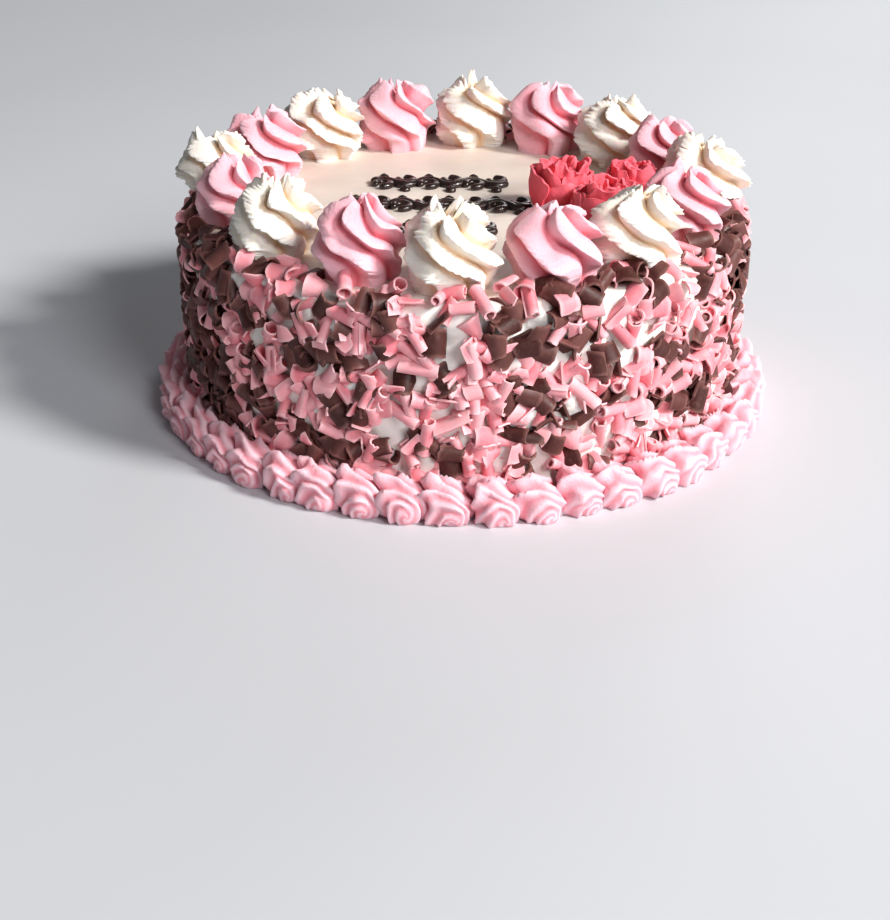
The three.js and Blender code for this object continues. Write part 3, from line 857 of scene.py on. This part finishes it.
def ornament():
    """Three rows of piped scrollwork on the top: waving stems with curled hooks and dots in their bends."""
    shape = Shape()
    seed = ORNAMENT_SEED
    for x, y, waves in ROWS_OF_SCROLLS:
        start = x - waves * WAVE_LENGTH / 2
        run = np.linspace(0, waves, WAVE_STEPS * waves)
        level = CAKE_TOP + STEM_RISE + 0 * run
        stem = np.stack([start + WAVE_LENGTH * run, y + WAVE_SWING * np.sin(TAU * run), level], -1)
        stroke(shape, stem, seed)
        for bend in range(2 * waves):
            seed += ORNAMENT_SEED_STEP
            side = 1 if bend % 2 == 0 else -1
            middle = start + WAVE_LENGTH * (0.25 + bend / 2)
            angle = np.radians(np.linspace(*HOOK_TURN, HOOK_STEPS))
            reach = np.linspace(*HOOK_REACH, HOOK_STEPS)
            hook = np.stack([
                middle + reach * np.sin(angle),
                y - side * (reach * np.cos(angle) + HOOK_ASIDE),
                CAKE_TOP + HOOK_RISE + 0 * angle,
            ], -1)
            stroke(shape, hook, seed, HOOK_WEIGHT)
            shape.body(lathe(DOT_PROFILE, DOT_COLUMNS) + np.array((middle, y + side * DOT_ASIDE, CAKE_TOP)))
    return shape


# ======== Stage ========

def floor():
    """A plain pale floor, far wider than the view."""
    mesh = bpy.data.meshes.new("floor")
    corners = [(-1, -1), (1, -1), (1, 1), (-1, 1)]
    mesh.from_pydata([(x * FLOOR_HALF, y * FLOOR_HALF, 0) for x, y in corners], [], [(0, 1, 2, 3)])
    paint = Paint("floor")
    tint = paint.ramp(paint.noise(scale=3, detail=2), (0.3, FLOOR_TONES[0]), (0.7, FLOOR_TONES[1]))
    mesh.materials.append(paint.finish(Base_Color=tint, Roughness=FLOOR_ROUGH))
    piece = bpy.data.objects.new("floor", mesh)
    bpy.context.scene.collection.objects.link(piece)


def lamp(name, place, size, power, colour):
    light = bpy.data.lights.new(name, "AREA")
    light.shape = "DISK"
    light.size = size
    light.energy = power
    light.color = colour
    made = bpy.data.objects.new(name, light)
    made.location = place
    made.rotation_euler = (Vector(LIT_MIDDLE) - Vector(place)).to_track_quat("-Z", "Y").to_euler()
    bpy.context.scene.collection.objects.link(made)


def studio():
    world = bpy.data.worlds.new("studio")
    world.use_nodes = True
    background = world.node_tree.nodes["Background"]
    background.inputs["Color"].default_value = SKY_COLOUR
    background.inputs["Strength"].default_value = SKY_STRENGTH
    bpy.context.scene.world = world
    bpy.context.scene.view_settings.view_transform = "Standard"
    for row in LAMPS:
        lamp(*row)


def camera():
    data = bpy.data.cameras.new("camera")
    data.sensor_fit = "VERTICAL"
    data.sensor_height = SENSOR
    data.lens = LENS_PIXELS * SENSOR / PHOTO_SIZE[1]
    data.clip_start = CAMERA_NEAR
    made = bpy.data.objects.new("camera", data)
    look = Euler((math.radians(90 - CAMERA_DOWN), 0, math.radians(CAMERA_LEFT))).to_matrix().to_4x4()
    roll = Matrix.Rotation(math.radians(CAMERA_ROLL), 4, "Z")
    made.matrix_world = Matrix.Translation(CAMERA_PLACE) @ look @ roll
    bpy.context.scene.collection.objects.link(made)
    bpy.context.scene.camera = made


# ======== The whole scene ========

def node_foot(node, sink):
    """Middle of a node's foot, lowered by `sink`, its half width and its height, in millimetres."""
    low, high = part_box(node)
    middle = ((low.x + high.x) / 2 / MM, (low.y + high.y) / 2 / MM, low.z / MM - sink)
    half = (high.x - low.x + high.y - low.y) / 4 / MM
    return middle, half, (high.z - low.z) / MM


def swirls():
    """The ring of swirls, cream and pink in turn."""
    white, pink = whipped("white_cream", *WHITE_CREAM), whipped("pink_cream", *PINK_CREAM)
    for index in range(SWIRL_COUNT):
        kind, material, slot = (("cream", white, "white_cream"), ("pink", pink, "pink_cream"))[index % 2]
        node = f"swirl_{kind}_{index // 2 + 1}"
        place, half, height = node_foot(node, SWIRL_SINK)
        seed, start = SWIRL_SEED + SWIRL_SEED_STEP * index, math.radians(SWIRL_SPIN * index)
        shape = Shape()
        swirl(shape, place, half + SWIRL_SPARE, height, seed, kind == "cream", start)
        shape.make(f"piped_{node}", material, slot, [node])


def border():
    """The ring of shells round the foot."""
    shape = Shape()
    for index in range(SHELL_COUNT):
        shell(shape, index, SHELL_SEED + index)
    shape.make("piped_border", whipped("border_cream", *BORDER_CREAM), "border_cream", ["shell_border"])


def roses():
    """The three roses on the top."""
    red = whipped("rose_cream", *ROSE_CREAM, ROSE_GLOW)
    for index in range(ROSE_COUNT):
        node = f"rose_{index + 1}"
        place, half, height = node_foot(node, ROSE_SINK)
        shape = Shape()
        rose(shape, place, half + ROSE_SPARE, ROSE_TALL * height, ROSE_SEED + index)
        shape.make(f"piped_{node}", red, "rose_cream", [node], ROSE_CREASE)


def cake():
    """The coat, with the curls and the ornament that are fused to it: four pieces that stand for one node."""
    chocolate = shaving("milk_chocolate", *MILK_CHOCOLATE, MILK_ROUGH)
    strawberry = shaving("strawberry_chocolate", *STRAWBERRY_CHOCOLATE, STRAWBERRY_ROUGH, STRAWBERRY_GLOW)
    scatter(BROWN).make("brown_curls", chocolate, "milk_chocolate", ["cake"], CURL_CREASE)
    scatter(PINK).make("pink_curls", strawberry, "strawberry_chocolate", ["cake"], CURL_CREASE)
    coat().make("cream_coat", icing(), "coat", ["cake"])
    ornament().make("piped_ornament", glossy_chocolate(), "dark_chocolate", ["cake"])


camera()
studio()
floor()
swirls()
border()
roses()
cake()
